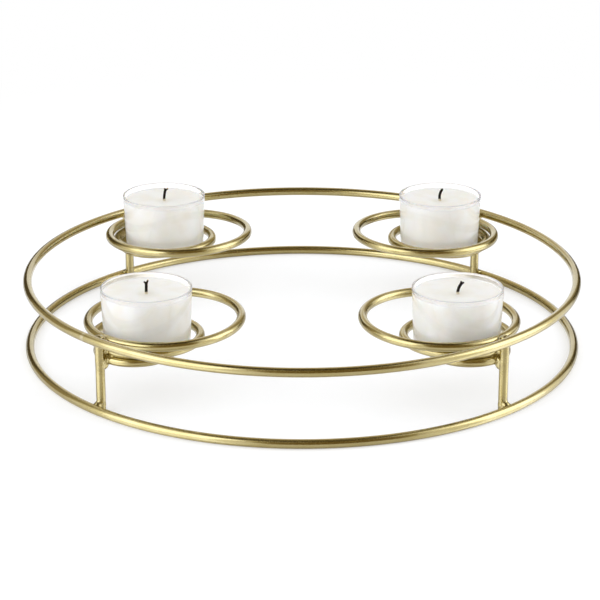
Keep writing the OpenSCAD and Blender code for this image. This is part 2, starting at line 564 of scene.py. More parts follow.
@dataclass(frozen=True)
class CharredCotton:
    """A braided wick: waxed at its foot, charred above, and still glowing at its ends."""

    waxed: Colour = (0.66, 0.58, 0.42)
    char: Colour = (0.008, 0.006, 0.005)
    ash: Colour = (0.03, 0.022, 0.016)
    ember: Colour = (1.0, 0.62, 0.22)
    ember_strength: float = 0.9
    ash_share: float = 0.6
    ragged_share: float = 0.16
    charred_from: Point = (0.12, 0.24)
    glows_from: Point = (0.96, 1.1)
    roughnesses: Point = (0.45, 0.9)
    braid_scale: Triple = (3.0, 9.0, 1.0)
    relief: float = 0.6
    relief_depth: float = 0.1 * MM

    def build(self) -> bpy.types.Material:
        """Makes the material, which reads how far up the standing part of the wick a spot is.

        Returns:
            The material of the wicks.
        """
        graph = MaterialGraph("charred_cotton")
        along = graph.along()
        place = graph.place()
        ragged = graph.plus(graph.grain(place, 1800.0, detail=3.0), self.ragged_share, graph.parts(along)[1])
        charred = graph.spread(ragged, *self.charred_from)
        flecks = graph.effect(MOTTLE, vector=place, scale=2600.0)
        dark = graph.tint(graph.times(flecks, self.ash_share), self.char, self.ash)
        strands = graph.add(
            "ShaderNodeTexWave",
            {"Vector": graph.stretch(along, self.braid_scale), "Scale": 1.0, "Distortion": 0.6},
            wave_type="BANDS",
            bands_direction="DIAGONAL",
        ).outputs["Fac"]
        return graph.principled(
            {
                "Metallic": 0.0,
                "Specular IOR Level": 0.15,
                "Base Color": graph.tint(charred, self.waxed, dark),
                "Roughness": graph.spread(charred, 0.0, 1.0, self.roughnesses),
                "Emission Color": graph.tint(graph.spread(ragged, *self.glows_from), BLACK, self.ember),
                "Emission Strength": self.ember_strength,
                "Normal": graph.bump(strands, self.relief, self.relief_depth),
            }
        )


@dataclass(frozen=True)
class TinPlate:
    """Thin tinned sheet, lightly stained, for the foot that holds the wick."""

    bright: Colour = (0.68, 0.69, 0.7)
    stained: Colour = (0.45, 0.44, 0.42)
    roughness: float = 0.3
    stained_roughness: float = 0.15
    rolling_scale: Triple = (300.0, 4000.0, 300.0)
    relief: float = 0.1
    relief_depth: float = 0.03 * MM

    def build(self) -> bpy.types.Material:
        """Makes the material.

        Returns:
            The material of the wick sustainers.
        """
        graph = MaterialGraph("tin_plate")
        place = graph.place()
        stains = graph.effect(MOTTLE, vector=place, scale=400.0)
        rolled = graph.grain(graph.stretch(place, self.rolling_scale), 1.0)
        return graph.principled(
            {
                "Metallic": 1.0,
                "Base Color": graph.tint(stains, self.bright, self.stained),
                "Roughness": graph.plus(stains, self.stained_roughness, self.roughness),
                "Normal": graph.bump(rolled, self.relief, self.relief_depth),
            }
        )


def placed(name: str, data: bpy.types.ID) -> bpy.types.Object:
    """Makes an object and puts it in the scene.

    Args:
        name: The object's name.
        data: Its mesh, camera or lamp.

    Returns:
        The object.
    """
    made = bpy.data.objects.new(name, data)
    bpy.context.scene.collection.objects.link(made)
    return made


def solid(source: Mesh, name: str) -> bpy.types.Object:
    """Turns a mesh under construction into an object in the scene.

    Args:
        source: The mesh. It is freed.
        name: The name of the object and its mesh.

    Returns:
        The object.
    """
    mesh = bpy.data.meshes.new(name)
    source.to_mesh(mesh)
    source.free()
    return placed(name, mesh)


@dataclass(frozen=True)
class Finishes:
    """One material for each of the record's slots."""

    materials: Mapping[Slot, bpy.types.Material]

    @classmethod
    def from_frame(cls) -> Finishes:
        """Makes every material, for the places that the frame gives.

        Returns:
            The finishes of the object.
        """
        post_low, post_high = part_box("post_back_right")
        cup_low, cup_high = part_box("tealight_cup_back_right")
        wax_low, wax_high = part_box("wax_back_right")
        return cls(
            {
                Slot.GOLD: GoldLacquer((post_low.x + post_high.x) / 2).build(),
                Slot.CUP: ClearCup(wax_high.z, cup_high.z).build(),
                Slot.WAX: Paraffin((cup_low.x + cup_high.x) / 2, wax_low.z).build(),
                Slot.WICK: CharredCotton().build(),
                Slot.SUSTAINER: TinPlate().build(),
            }
        )

    def dress(self, piece: bpy.types.Object, slot: Slot) -> None:
        """Gives a piece the material of a slot.

        Args:
            piece: A new piece or a node of the frame.
            slot: The slot.
        """
        if piece.material_slots:
            for held in piece.material_slots:
                held.material = self.materials[slot]
        else:
            piece.data.materials.append(self.materials[slot])

    def piece(self, source: Mesh, node: str, ending: str, slot: Slot, body: str) -> bpy.types.Object:
        """Turns a finished mesh into a piece that stands for a node of the frame.

        Args:
            source: The piece's mesh, in place. It is freed.
            node: The node that it stands for.
            ending: What the piece's name adds to the node's.
            slot: The slot whose finish the piece has.
            body: The body that the piece rides on.

        Returns:
            The piece.
        """
        piece = solid(source, f"{node}_{ending}")
        piece.data.shade_smooth()
        self.dress(piece, slot)
        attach(piece, body)
        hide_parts(node)
        LOG.info("%s: %d faces", piece.name, len(piece.data.polygons))
        return piece

    def gold(self, source: Mesh, node: str, ending: str) -> bpy.types.Object:
        """Turns a finished mesh into a gold piece of the frame, and returns it."""
        return self.piece(source, node, ending, Slot.GOLD, "frame")


def wrapped(angle: float, near: float) -> float:
    """Moves an angle by full turns until it is within half a turn of another."""
    return near + math.remainder(angle - near, FULL_TURN)


def turn_about(point: Vector, middle: Vector, axis: Vector = Vector()) -> float:
    """The angle of a corner round an upright axis, within half a turn of its face's middle."""
    near = math.atan2(middle.y - axis.y, middle.x - axis.x)
    return wrapped(math.atan2(point.y - axis.y, point.x - axis.x), near)


def lay_out(mesh: Mesh, spot: Callable[[Vector, Vector], Point]) -> None:
    """Gives a mesh its layout along and round a strand.

    Args:
        mesh: The mesh.
        spot: Finds a corner's place in the layout from the corner and the middle of its face.
    """
    layer = mesh.loops.layers.uv.new(ALONG)
    for face in mesh.faces:
        middle = face.calc_center_median()
        for loop in face.loops:
            loop[layer].uv = spot(loop.vert.co, middle)


def quarter(centre: Point, radius: float, steps: int, start: float = -90.0) -> list[Point]:
    """Points on a quarter circle, anticlockwise from an angle in degrees."""
    angles = [math.radians(start + 90 * step / steps) for step in range(steps + 1)]
    return [(centre[0] + radius * math.cos(a), centre[1] + radius * math.sin(a)) for a in angles]


def braced(profile: Sequence[Point], margin: float) -> list[Point]:
    """Adds a point near both ends of each long line, so that its shading stays straight.

    Args:
        profile: The outline's points, each a radius and a height.
        margin: The distance from the ends.

    Returns:
        The outline with the added points.
    """
    points = [profile[0]]
    for start, end in zip(profile, profile[1:]):
        length = math.dist(start, end)
        if length > 4 * margin:
            for share in (margin / length, 1 - margin / length):
                points.append(tuple(a + (b - a) * share for a, b in zip(start, end)))
        points.append(end)
    return points


def spin_round(mesh: Mesh, section: Sequence[Any], steps: int) -> None:
    """Spins a section a full turn round the Z axis, closes the result and turns it outwards.

    Args:
        mesh: The mesh.
        section: Its edges, and the points that it has besides.
        steps: Sections round the axis.
    """
    around = {"cent": (0, 0, 0), "axis": (0, 0, 1), "angle": FULL_TURN}
    bmesh.ops.spin(mesh, geom=section, steps=steps, use_merge=True, **around)
    bmesh.ops.remove_doubles(mesh, verts=mesh.verts, dist=MERGE_GAP)
    bmesh.ops.recalc_face_normals(mesh, faces=mesh.faces)


def revolve(profile: Sequence[Point], steps: int) -> Mesh:
    """Spins an outline round the Z axis. An outline that starts off the axis is closed first.

    Args:
        profile: The outline's points, each a radius and a height.
        steps: Sections round the axis.

    Returns:
        The closed mesh.
    """
    mesh = bmesh.new()
    points = [mesh.verts.new((radius, 0, height)) for radius, height in profile]
    edges = [mesh.edges.new(pair) for pair in zip(points, points[1:])]
    if profile[0][0] > 0:
        edges.append(mesh.edges.new((points[-1], points[0])))
    spin_round(mesh, points + edges, steps)
    return mesh


@dataclass(frozen=True)
class Ring:
    """A ring of round wire that passes a seat's post and may rise from there."""

    ring_r: float
    wire_r: float
    edge_r: float
    edge_z: float
    angle: float
    tilt: float = 0.0

    @classmethod
    def from_node(cls, node: str, wire_r: float, angle: float) -> Ring:
        """Reads a seat's ring from the frame.

        Args:
            node: The ring's node.
            wire_r: The wire's radius.
            angle: The angle of the seat's post.

        Returns:
            The ring.
        """
        low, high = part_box(node)
        ring_r = (high.x - low.x) / 2 - wire_r
        rise = max(0.0, (high.z - low.z) / 2 - wire_r)
        tilt = math.asin(rise / ring_r)
        centre = (low + high) / 2
        edge_r = math.hypot(centre.x, centre.y) + ring_r * math.cos(tilt)
        return cls(ring_r, wire_r, edge_r, centre.z - rise, angle, tilt)

    @property
    def matrix(self) -> Matrix:
        """Puts a ring that is modelled round the origin in its place."""
        turned = Matrix.Rotation(self.angle, 4, "Z") @ Matrix.Translation((self.edge_r, 0, self.edge_z))
        return turned @ Matrix.Rotation(self.tilt, 4, "Y") @ Matrix.Translation((-self.ring_r, 0, 0))

    def arc(self, reach: float, gap: float) -> list[tuple[Vector, float]]:
        """Points along the middle of the wire on both sides of the post.

        Args:
            reach: How far they go to each side.
            gap: The most between two points.

        Returns:
            Each point with its share of the reach.
        """
        count = math.ceil(reach / gap)
        shares = [step / count for step in range(-count, count + 1)]
        turns = [share * reach / self.ring_r for share in shares]
        flat = [Vector((self.ring_r * math.cos(a), self.ring_r * math.sin(a), 0)) for a in turns]
        return [(self.matrix @ point, abs(share)) for point, share in zip(flat, shares)]

    def mesh(self, steps: int, sides: int, bend: Vector, seed: float) -> Mesh:
        """Spins the wire's round section into a ring, slightly bent as handwork is.

        Args:
            steps: Sections round the ring.
            sides: Sides of the wire.
            bend: The most that the wire strays inwards, as X, and upwards, as Z.
            seed: Picks the way it strays.

        Returns:
            The ring's mesh, in place.
        """
        mesh = bmesh.new()
        stand = Matrix.Translation((self.ring_r, 0, 0)) @ Matrix.Rotation(math.pi / 2, 4, "X")
        bmesh.ops.create_circle(mesh, cap_ends=False, segments=sides, radius=self.wire_r, matrix=stand)
        spin_round(mesh, mesh.edges[:], steps)
        lay_out(mesh, self._spot)
        self._stray(mesh, bend, seed)
        bmesh.ops.transform(mesh, matrix=self.matrix, verts=mesh.verts)
        return mesh

    def _spot(self, point: Vector, middle: Vector) -> Point:
        """Places a corner in metres along and round the wire, from where the ring starts.

        Args:
            point: The corner.
            middle: The middle of its face.

        Returns:
            The place along the wire and the place round it.
        """
        roll, near = [math.atan2(p.z, math.hypot(p.x, p.y) - self.ring_r) for p in (point, middle)]
        return turn_about(point, middle) * self.ring_r, wrapped(roll, near) * self.wire_r

    @staticmethod
    def _stray(mesh: Mesh, bend: Vector, seed: float) -> None:
        """Moves the wire a little inwards and upwards along its length.

        Args:
            mesh: The ring's mesh, round the origin.
            bend: The most that it moves inwards, as X, and upwards, as Z.
            seed: Picks where it moves.
        """
        for vert in mesh.verts:
            out = Vector((vert.co.x, vert.co.y, 0.0)).normalized()
            inward = (1 + noise.noise(out * 1.6 + Vector((0, 0, seed)))) / 2
            upward = (1 + noise.noise(out * 1.3 + Vector((0, 0, seed + 9.0)))) / 2
            vert.co += out * (-bend.x * inward) + Vector((0, 0, bend.z * upward))


@dataclass(frozen=True)
class Fusion:
    """Runs overlapping balls together into one smooth lump with fillets in its corners."""

    voxel: float
    passes: int
    ripple: float
    ball_steps: int = 3

    def ball(self, mesh: Mesh, centre: Vector, radius: float) -> None:
        """Adds a ball to a mesh."""
        place = Matrix.Translation(centre)
        bmesh.ops.create_icosphere(mesh, subdivisions=self.ball_steps, radius=radius, matrix=place)

    def blob(self, mesh: Mesh, centre: Vector, radii: Vector, turn: float) -> None:
        """Adds a ball that is stretched outwards, sideways and upwards, as seen from the hoops' axis."""
        place = Matrix.Rotation(turn, 4, "Z") @ Matrix.Translation(centre) @ Matrix.Diagonal((*radii, 1.0))
        bmesh.ops.create_icosphere(mesh, subdivisions=self.ball_steps, radius=1.0, matrix=place)

    def run(self, source: Mesh, seed: float) -> Mesh:
        """Joins and smooths the balls.

        Args:
            source: The balls. It is freed.
            seed: Picks the ripples of the skin.

        Returns:
            The lump's mesh.
        """
        holder = solid(source, "fusing")
        joined = holder.modifiers.new("join", "REMESH")
        joined.mode, joined.voxel_size, joined.use_smooth_shade = "VOXEL", self.voxel, True
        settled = holder.modifiers.new("settle", "SMOOTH")
        settled.factor, settled.iterations = 0.5, self.passes
        done = bpy.data.meshes.new_from_object(holder.evaluated_get(bpy.context.evaluated_depsgraph_get()))
        lump = bmesh.new()
        lump.from_mesh(done)
        rough = holder.data
        bpy.data.objects.remove(holder)
        bpy.data.meshes.remove(rough)
        bpy.data.meshes.remove(done)
        lump.normal_update()
        for vert in lump.verts:
            wave = noise.noise(vert.co / (6 * self.voxel) + Vector((seed, 0, 0)))
            vert.co += vert.normal * (self.ripple * wave)
        bmesh.ops.recalc_face_normals(lump, faces=lump.faces)
        return lump


WELDING = Fusion(voxel=0.22 * MM, passes=36, ripple=0.03 * MM)
FRAYING = Fusion(voxel=0.1 * MM, passes=2, ripple=0.05 * MM, ball_steps=2)


def uneven(*spot: float) -> float:
    """A size of about one that differs from weld to weld."""
    return 1 + 0.1 * noise.noise(Vector(spot))


@dataclass(frozen=True)
class Wirework:
    """The welded wire frame: two hoops, four posts and the welds between them.

    All shares are of the wire's radius. A bead's are its own radius at the post and what it has lost at
    its ends. A flare's are its radius away from the hoop and what it gains towards it. A fillet's are
    its half sizes outwards, sideways and upwards.
    """

    finishes: Finishes
    wire_r: float
    hoop_r: float
    lower_z: float
    upper_z: float
    post_r: float
    sides: int = 28
    hoop_steps: int = 288
    hoop_stray: Vector = Vector((0.14 * MM, 0, 0))
    lower_seam: float = 45.0
    upper_seam: float = 222.7
    end_r: float = 0.5 * MM
    end_steps: int = 4
    brace: float = 0.6 * MM
    weld_reach: float = 4.5 * MM
    ball_gap: float = 0.5 * MM
    bead_shares: Point = (0.985, 0.06)
    flare_shares: Point = (0.99, 0.12)
    fillet_shares: Triple = (0.88, 0.98, 0.78)
    fillet_rise_share: float = 0.75

    @classmethod
    def from_frame(cls, finishes: Finishes) -> Wirework:
        """Reads the hoops and posts from the frame.

        Args:
            finishes: The object's materials.

        Returns:
            The wirework.
        """
        low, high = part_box("lower_hoop")
        upper_low, upper_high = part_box("upper_hoop")
        post_low, post_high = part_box("post_back_right")
        post_middle = (post_low + post_high) / 2
        wire_r = (high.z - low.z) / 2
        return cls(
            finishes=finishes,
            wire_r=wire_r,
            hoop_r=high.x - wire_r,
            lower_z=(low.z + high.z) / 2,
            upper_z=(upper_low.z + upper_high.z) / 2,
            post_r=math.hypot(post_middle.x, post_middle.y),
        )

    def build(self) -> None:
        """Builds the hoops, the posts and the welds between them."""
        self.hoop("lower_hoop", self.lower_z, self.lower_seam)
        self.hoop("upper_hoop", self.upper_z, self.upper_seam)
        for seat in Seat:
            self.post(seat)
        self.hoop_welds("foot_welds", self.lower_z, 1)
        self.hoop_welds("head_welds", self.upper_z, -1)

    def hoop_ring(self, z: float, angle: float) -> Ring:
        """A hoop at a height that starts at an angle."""
        return Ring(self.hoop_r, self.wire_r, self.hoop_r, z, angle)

    def hoop(self, node: str, z: float, seam: float) -> None:
        """Builds one hoop, which closes at a seam's angle in degrees."""
        ring = self.hoop_ring(z, math.radians(seam))
        self.finishes.gold(ring.mesh(self.hoop_steps, self.sides, self.hoop_stray, seam), node, "wire")

    def post(self, seat: Seat) -> None:
        """Builds one post, with the burr of the cut taken off its ends.

        Args:
            seat: The seat that the post carries.
        """
        node = f"post_{seat.label}"
        low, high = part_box(node)
        axis = (low + high) / 2
        shoulder = self.wire_r - self.end_r
        foot = quarter((shoulder, low.z + self.end_r), self.end_r, self.end_steps)
        head = quarter((shoulder, high.z - self.end_r), self.end_r, self.end_steps, start=0.0)
        outline = braced([(0.0, low.z), *foot, *head, (0.0, high.z)], self.brace)
        mesh = revolve(outline, self.sides)
        lay_out(mesh, lambda point, near: (high.z + point.z, turn_about(point, near) * self.wire_r))
        bmesh.ops.translate(mesh, vec=(axis.x, axis.y, 0), verts=mesh.verts)
        self.finishes.gold(mesh, node, "wire")

    def post_point(self, seat: Seat, z: float) -> Vector:
        """A point on a post's axis."""
        return Vector((self.post_r * math.cos(seat.angle), self.post_r * math.sin(seat.angle), z))

    def bead(self, mesh: Mesh, ring: Ring, shares: Point) -> None:
        """Adds a bead of balls along a ring on both sides of its post."""
        for centre, away in ring.arc(self.weld_reach, self.ball_gap):
            WELDING.ball(mesh, centre, self.wire_r * (shares[0] - shares[1] * away))

    def weld(self, mesh: Mesh, seed: float, node: str) -> None:
        """Fuses a weld, with a layout far from any seam, so that it shows neither that nor drawn lines.

        Args:
            mesh: The weld's balls. It is freed.
            seed: Picks the ripples of its skin.
            node: The node that it stands for.
        """
        lump = WELDING.run(mesh, seed)
        lay_out(lump, lambda point, near: (1.0, 0.0))
        self.finishes.gold(lump, node, "metal")

    def hoop_welds(self, node: str, z: float, side: int) -> None:
        """Builds the welds that join the posts to one hoop.

        Args:
            node: The node that the welds stand for.
            z: The height of the hoop's middle.
            side: 1 for welds on top of the wire and -1 for welds under it.
        """
        mesh = bmesh.new()
        inset = (self.hoop_r + self.post_r) / 2
        out, wide, up = self.fillet_shares
        for number, seat in enumerate(Seat):
            self.bead(mesh, self.hoop_ring(z, seat.angle), self.bead_shares)
            for step in range(math.ceil(self.weld_reach / self.ball_gap)):
                climb = step * self.ball_gap
                flare = self.flare_shares[1] * (1 - climb / self.weld_reach) ** 3
                centre = self.post_point(seat, z + side * (climb + self.wire_r / 2))
                WELDING.ball(mesh, centre, self.wire_r * (self.flare_shares[0] + flare))
            size = uneven(z * SEED_SCALE, number, 0.0)
            corner = Vector((inset, 0, z + side * self.fillet_rise_share * self.wire_r))
            WELDING.blob(mesh, corner, Vector((out, wide * size, up)) * self.wire_r, seat.angle)
        self.weld(mesh, z * SEED_SCALE, node)


@dataclass(frozen=True)
class SeatRings:
    """One seat: a large loop, the ring round the tealight, the ring under it and their weld.

    All shares are of the wire's radius. A bead's and the sleeve's are their own radius and what they
    have lost at their ends. A fillet's and the drip's are half sizes outwards, sideways and upwards.
    """

    seat: Seat
    work: Wirework
    steps: int = 168
    stray: Vector = Vector((0.1 * MM, 0, 0.1 * MM))
    tail: float = 5 * MM
    bead_shares: Point = (1.05, 0.1)
    sleeve_shares: Point = (1.08, 0.13)
    sleeve_rise_share: float = 0.5
    fillet_shares: Point = (1.0, 1.2)
    fillet_height_shares: Triple = (0.85, 1.15, 1.15)
    drip_shares: Triple = (1.1, 1.05, 1.3)
    drip_inset_share: float = 0.1
    drip_drop_share: float = 0.85

    def build(self) -> None:
        """Builds the seat's rings and weld."""
        rings = []
        for kind in RingKind:
            node = f"{kind.value}_{self.seat.label}"
            ring = Ring.from_node(node, self.work.wire_r, self.seat.angle)
            seed = self.seat.angle * 5 + ring.edge_z * SEED_SCALE
            self.work.finishes.gold(ring.mesh(self.steps, self.work.sides, self.stray, seed), node, "wire")
            rings.append(ring)
        self.weld(rings)

    def weld(self, rings: Sequence[Ring]) -> None:
        """Builds the weld that joins the rings to the post and to each other.

        Args:
            rings: The seat's rings from the highest to the lowest.
        """
        work = self.work
        wire_r = work.wire_r
        inset = (work.post_r + rings[0].edge_r) / 2
        out, wide = self.fillet_shares
        mesh = bmesh.new()
        for number, (ring, height) in enumerate(zip(rings, self.fillet_height_shares)):
            work.bead(mesh, ring, self.bead_shares)
            size = uneven(self.seat.angle * 3, number, 4.0)
            corner = Vector((inset, 0, ring.edge_z))
            WELDING.blob(mesh, corner, Vector((out, wide * size, height)) * wire_r, self.seat.angle)
        top = rings[0].edge_z + self.sleeve_rise_share * wire_r
        low = rings[-1].edge_z
        for step in range(math.ceil((top - low + self.tail) / work.ball_gap)):
            z = top - step * work.ball_gap
            lost = self.sleeve_shares[1] * (max(0.0, low - z) / self.tail)
            WELDING.ball(mesh, work.post_point(self.seat, z), wire_r * (self.sleeve_shares[0] - lost))
        drip = Vector((inset - self.drip_inset_share * wire_r, 0, low - self.drip_drop_share * wire_r))
        WELDING.blob(mesh, drip, Vector(self.drip_shares) * wire_r, self.seat.angle)
        work.weld(mesh, self.seat.angle, f"seat_weld_{self.seat.label}")


@dataclass(frozen=True)
class WickShape:
    """How a burnt wick stands: its lean and curl to the right, in degrees, and its frayed ends.

    Each frayed end has an angle from upright, in degrees, and a length.
    """

    lean: float
    curl: float
    ends: tuple[Point, ...]


WICK_SHAPES = {
    Seat.FRONT_LEFT: WickShape(0.0, 3.0, ((-45.0, 1.4 * MM), (24.0, 1.8 * MM))),
    Seat.FRONT_RIGHT: WickShape(-4.0, 40.0, ((-8.0, 1.2 * MM), (62.0, 1.3 * MM))),
    Seat.BACK_LEFT: WickShape(0.0, 13.0, ((-20.0, 1.1 * MM), (54.0, 1.7 * MM))),
    Seat.BACK_RIGHT: WickShape(-17.0, 48.0, ((33.0, 0.7 * MM),)),
}


@dataclass(frozen=True)
class Tealight:
    """A loose tealight: clear cup, wax, wick and the foot that holds the wick."""

    seat: Seat
    finishes: Finishes
    shape: WickShape
    taper: float = 0.9 * MM
    edge_r: float = 1.4 * MM
    rim_round: float = 0.3 * MM
    foot_recess: float = 0.25 * MM
    foot_width: float = 1.6 * MM
    wall_bite: float = 0.03 * MM
    meniscus: float = 0.5 * MM
    pool_depth: float = 0.35 * MM
    pool_r: float = 6.5 * MM
    shore_shares: tuple[float, ...] = (0.0, 0.15, 0.35, 0.6, 1.0)
    shore_width_share: float = 0.8
    ripple: float = 0.06 * MM
    ripple_scale: float = 260.0
    crease: float = 60.0
    foot_t: float = 0.3 * MM
    collar_wall: float = 0.4 * MM
    brace: float = 0.7 * MM
    steps: int = 112
    wick_sides: int = 16
    burnt_share: float = 0.92
    split_share: float = 0.8
    fray_share: float = 0.55
    lifts: int = 14

    def build(self) -> None:
        """Builds the cup, the wax and the wick, and dresses the foot in its own material."""
        self.cup()
        self.wax()
        self.wick()
        foot = bpy.data.objects[f"wick_sustainer_{self.seat.label}"]
        self.finishes.dress(foot, Slot.SUSTAINER)

    def _cup_size(self) -> tuple[Vector, float, float, float]:
        """Reads the cup from the frame.

        Returns:
            The middle of the cup's underside, its rim radius, its height and its wall.
        """
        low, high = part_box(f"tealight_cup_{self.seat.label}")
        wax_low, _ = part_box(f"wax_{self.seat.label}")
        base = Vector(((low.x + high.x) / 2, (low.y + high.y) / 2, low.z))
        return base, (high.x - low.x) / 2, high.z - low.z, wax_low.z - low.z

    def cup(self) -> None:
        """Builds the clear cup, with a rounded rim and a hollow under its floor."""
        base, rim_r, height, wall = self._cup_size()
        edge_centre = rim_r - self.taper - self.edge_r
        ledge = edge_centre - self.foot_width
        lip = height - self.rim_round
        outline = [
            (0.0, self.foot_recess),
            (ledge - self.foot_recess, self.foot_recess),
            (ledge, 0.0),
            *quarter((edge_centre, self.edge_r), self.edge_r, 6),
            *quarter((rim_r - self.rim_round, lip), self.rim_round, 4, start=0.0),
            *quarter((rim_r - wall + self.rim_round, lip), self.rim_round, 4, start=90.0),
            *reversed(quarter((edge_centre, self.edge_r), self.edge_r - wall, 4)),
            (0.0, wall),
        ]
        mesh = revolve(braced(outline, self.brace), self.steps)
        bmesh.ops.translate(mesh, vec=base, verts=mesh.verts)
        node = f"tealight_cup_{self.seat.label}"
        piece = self.finishes.piece(mesh, node, "shell", Slot.CUP, self.seat.body)
        piece.visible_shadow = False

    def wax(self) -> None:
        """Builds the fill, which wets the cup's wall, climbs it a little and dips round the wick."""
        base, rim_r, _, wall = self._cup_size()
        node = f"wax_{self.seat.label}"
        low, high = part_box(node)
        foot_low, foot_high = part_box(f"wick_sustainer_{self.seat.label}")
        top = high.z - base.z
        wax_r = (high.x - low.x) / 2 + self.wall_bite
        edge_centre = rim_r - self.taper - self.edge_r
        foot_r = (foot_high.x - foot_low.x) / 2
        wick_r = self._wick_r()
        collar_r = wick_r + self.collar_wall
        collar_top = foot_high.z - base.z
        dip = top - self.pool_depth
        core = [
            (wick_r, dip),
            (wick_r, collar_top),
            (collar_r, collar_top),
            (collar_r, wall + self.foot_t),
            (foot_r, wall + self.foot_t),
            (foot_r, wall),
        ]
        side = quarter((edge_centre, self.edge_r), self.edge_r - wall + self.wall_bite, 4)
        hollow = quarter((wax_r - self.meniscus, top + self.meniscus), self.meniscus, 5)
        shore = [
            (
                self.pool_r * (1 - self.shore_width_share * share),
                top - self.pool_depth * math.sin(share * math.pi / 2),
            )
            for share in self.shore_shares
        ]
        outline = [*core, *side, *reversed(hollow), *shore]
        mesh = revolve(braced(outline, self.brace), self.steps)
        seed = Vector((self.seat.angle, 0, 0))
        for vert in mesh.verts:
            if vert.co.z > dip - self.pool_depth:
                vert.co.z += self.ripple * noise.noise(vert.co * self.ripple_scale + seed)
        bmesh.ops.translate(mesh, vec=base, verts=mesh.verts)
        piece = self.finishes.piece(mesh, node, "fill", Slot.WAX, self.seat.body)
        piece.data.set_sharp_from_angle(angle=math.radians(self.crease))

    def _wick_r(self) -> float:
        """The wick's radius, from the depth of its node, which bends only sideways."""
        low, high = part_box(f"wick_{self.seat.label}")
        return (high.y - low.y) / 2

    def wick(self) -> None:
        """Builds the wick: whole in the wax, thinner where it burnt, and frayed at its end."""
        base, _, _, wall = self._cup_size()
        node = f"wick_{self.seat.label}"
        tip_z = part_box(node)[1].z
        wax_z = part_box(f"wax_{self.seat.label}")[1].z
        whole_r = self._wick_r()
        burnt_r = whole_r * self.burnt_share
        fray_r = burnt_r * self.fray_share
        exposed = tip_z - wax_z - fray_r
        rise = max(length * math.cos(math.radians(angle)) for angle, length in self.shape.ends)
        stem = (exposed - rise) / math.cos(math.radians(self.shape.lean + self.shape.curl / 2))
        foot = Vector((base.x, base.y, base.z + wall))
        point = Vector((base.x, base.y, wax_z - self.pool_depth))
        stations = [(foot, 0.0, whole_r), (point, 0.0, whole_r)]
        for step in range(1, self.lifts + 1):
            share = step / self.lifts
            heading = math.radians(self.shape.lean + self.shape.curl * share)
            point = self._onward(point, heading, (stem + self.pool_depth) / self.lifts)
            stations.append((point, heading, whole_r + (burnt_r - whole_r) * min(1.0, 3 * share)))
        mesh = bmesh.new()
        self.strand(mesh, stations)
        for angle, length in self.shape.ends:
            heading = math.radians(angle)
            end = self._onward(point, heading, length)
            self.strand(mesh, [(point, heading, burnt_r * self.split_share), (end, heading, fray_r)])
        lump = FRAYING.run(mesh, self.seat.angle)
        height = tip_z - wax_z
        lay_out(lump, lambda p, near: (turn_about(p, near, base) / math.pi, (p.z - wax_z) / height))
        self.finishes.piece(lump, node, "braid", Slot.WICK, self.seat.body)

    @staticmethod
    def _onward(point: Vector, heading: float, length: float) -> Vector:
        """The point that lies a length further on, at an angle from upright to the right."""
        return point + Vector((math.sin(heading), 0, math.cos(heading))) * length

    def strand(self, mesh: Mesh, stations: Sequence[tuple[Vector, float, float]]) -> None:
        """Extrudes a round strand through some stations.

        Args:
            mesh: The mesh that the strand goes into.
            stations: The strand's middle, its lean to the right and its radius at each place.
        """
        places = [
            Matrix.Translation(middle) @ Matrix.Rotation(heading, 4, "Y") @ Matrix.Scale(radius, 4)
            for middle, heading, radius in stations
        ]
        disc = {"segments": self.wick_sides, "radius": 1.0, "matrix": places[0]}
        ring = bmesh.ops.create_circle(mesh, cap_ends=True, **disc)["verts"]
        rim = [e for e in mesh.edges if all(v in ring for v in e.verts)]
        for before, after in zip(places, places[1:]):
            made = bmesh.ops.extrude_edge_only(mesh, edges=rim)["geom"]
            ring = [v for v in made if isinstance(v, bmesh.types.BMVert)]
            rim = [e for e in made if isinstance(e, bmesh.types.BMEdge) and all(v in ring for v in e.verts)]
            bmesh.ops.transform(mesh, matrix=after @ before.inverted(), verts=ring)
        bmesh.ops.contextual_create(mesh, geom=rim)
        bmesh.ops.recalc_face_normals(mesh, faces=mesh.faces)


def toward(azimuth: float, elevation: float) -> Vector:
    """The direction at two angles in degrees, with 0 to the right and 90 to the back."""
    turn, rise = math.radians(azimuth), math.radians(elevation)
    return Vector((math.cos(turn) * math.cos(rise), math.sin(turn) * math.cos(rise), math.sin(rise)))


def seen(graph: Graph) -> Socket:
    """Finds what the camera, a reflection or clear plastic looks at.

    Args:
        graph: The graph that needs it.

    Returns:
        One for such a look and none for the light on other things.
    """
    path = graph.add("ShaderNodeLightPath").outputs
    shiny = graph.math("MAXIMUM", path["Is Glossy Ray"], path["Is Transmission Ray"])
    return graph.math("MAXIMUM", path["Is Camera Ray"], shiny)


@dataclass(frozen=True)
class Softbox:
    """A large soft lamp that faces the object."""

    name: str
    azimuth: float
    elevation: float
    size: Point
    level: float
    distance: float = 1.1
    colour: Colour = (0.94, 1.0, 1.13)

    def build(self, target: Vector) -> None:
        """Makes the lamp.

        Args:
            target: The point that it faces.
        """
        light = bpy.data.lights.new(self.name, "AREA")
        light.shape = "RECTANGLE"
        light.size, light.size_y = self.size
        light.energy = self.level * math.pi * self.size[0] * self.size[1]
        light.color = self.colour
        lamp = placed(self.name, light)
        lamp.location = target + toward(self.azimuth, self.elevation) * self.distance
        lamp.rotation_euler = (target - lamp.location).to_track_quat("-Z", "Y").to_euler()
        lamp.visible_camera = False


